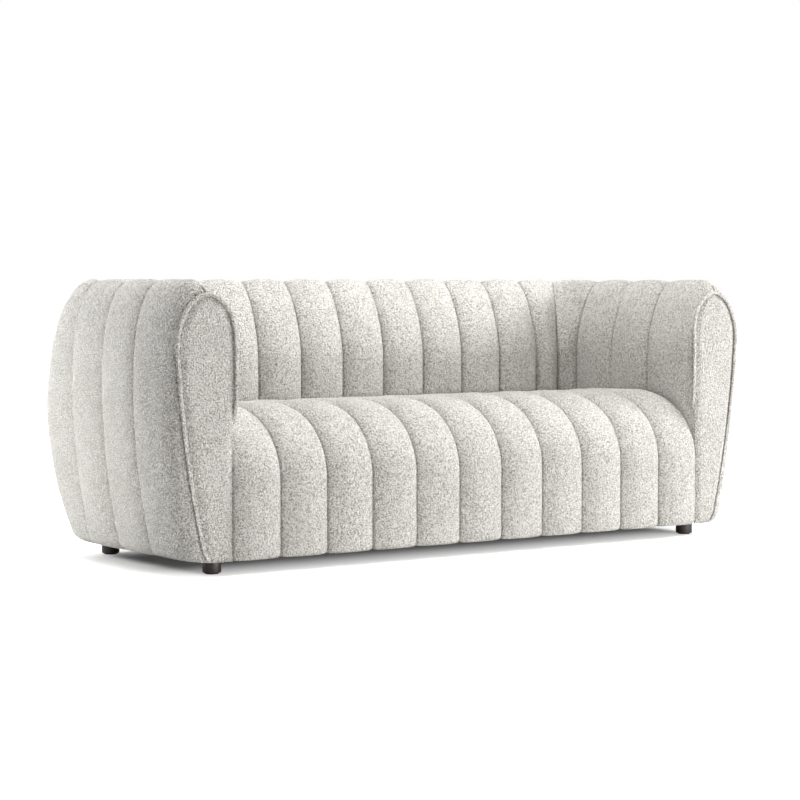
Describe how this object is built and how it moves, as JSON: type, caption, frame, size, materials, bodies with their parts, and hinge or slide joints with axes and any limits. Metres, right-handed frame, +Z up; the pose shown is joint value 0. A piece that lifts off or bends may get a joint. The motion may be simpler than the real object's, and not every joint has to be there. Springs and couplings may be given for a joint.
{
  "type": "tuxedo sofa",
  "caption": "Low upholstered sofa with arms and back of one height, covered in vertical puffed channels, on short round feet.",
  "frame": {"origin": "on the floor under the middle of the sofa", "axes": "+X to the sitter's left hand, along the sofa; -Y out of the front; +Z up"},
  "size_m": [1.976, 0.795, 0.762],
  "materials": {
    "boucle_cover": "ivory looped boucle, quilted in channels over fill",
    "boucle_welt": "ivory boucle over cord",
    "foam": "upholstery foam",
    "lining_cloth": "nonwoven cloth",
    "webbing": "woven elastic webbing",
    "spring_steel": "drawn spring wire",
    "zinc_fixings": "zinc plated",
    "beech_dowel": "turned, bare",
    "foot_stain": "dark brown stain, satin lacquer",
    "glide": "moulded",
    "hardboard": "pressed fibre",
    "plywood": "cut plywood, bare",
    "frame_timber": "planed softwood, bare"
  },
  "bodies": {
    "root": {"seat_panel": "boucle_cover", "back_cover": "boucle_cover", "left_arm_cover": "boucle_cover", "right_arm_cover": "boucle_cover", "left_corner_gusset": "boucle_cover", "right_corner_gusset": "boucle_cover", "left_front_panel": "boucle_cover", "right_front_panel": "boucle_cover", "left_front_welt": "boucle_welt", "right_front_welt": "boucle_welt", "seat_foam_core": "foam", "deck_cloth": "lining_cloth", "seat_springs": "spring_steel", "spring_clips": "spring_steel", "spring_ties": "spring_steel", "front_rail": "frame_timber", "rear_seat_board": "frame_timber", "left_side_board": "frame_timber", "right_side_board": "frame_timber", "left_bearer": "frame_timber", "right_bearer": "frame_timber", "rear_bearer": "frame_timber", "centre_stretchers": "frame_timber", "rear_spring_rail": "frame_timber", "corner_blocks": "frame_timber", "corner_screws": "zinc_fixings", "rail_dowels": "beech_dowel", "left_front_board": "plywood", "right_front_board": "plywood", "left_arm_ribs": "plywood", "right_arm_ribs": "plywood", "left_arm_top_rail": "frame_timber", "right_arm_top_rail": "frame_timber", "left_arm_outer_rail": "frame_timber", "right_arm_outer_rail": "frame_timber", "left_arm_lining": "hardboard", "right_arm_lining": "hardboard", "back_ribs": "plywood", "back_top_rail": "frame_timber", "back_outer_rail": "frame_timber", "back_webbing": "webbing", "left_corner_post": "frame_timber", "right_corner_post": "frame_timber", "left_corner_formers": "plywood", "right_corner_formers": "plywood", "dust_cover": "lining_cloth", "front_left_foot": "foot_stain", "front_right_foot": "foot_stain", "rear_left_foot": "foot_stain", "rear_right_foot": "foot_stain", "foot_bolts": "zinc_fixings", "foot_tnuts": "zinc_fixings", "foot_glides": "glide"}
  },
  "joints": []
}
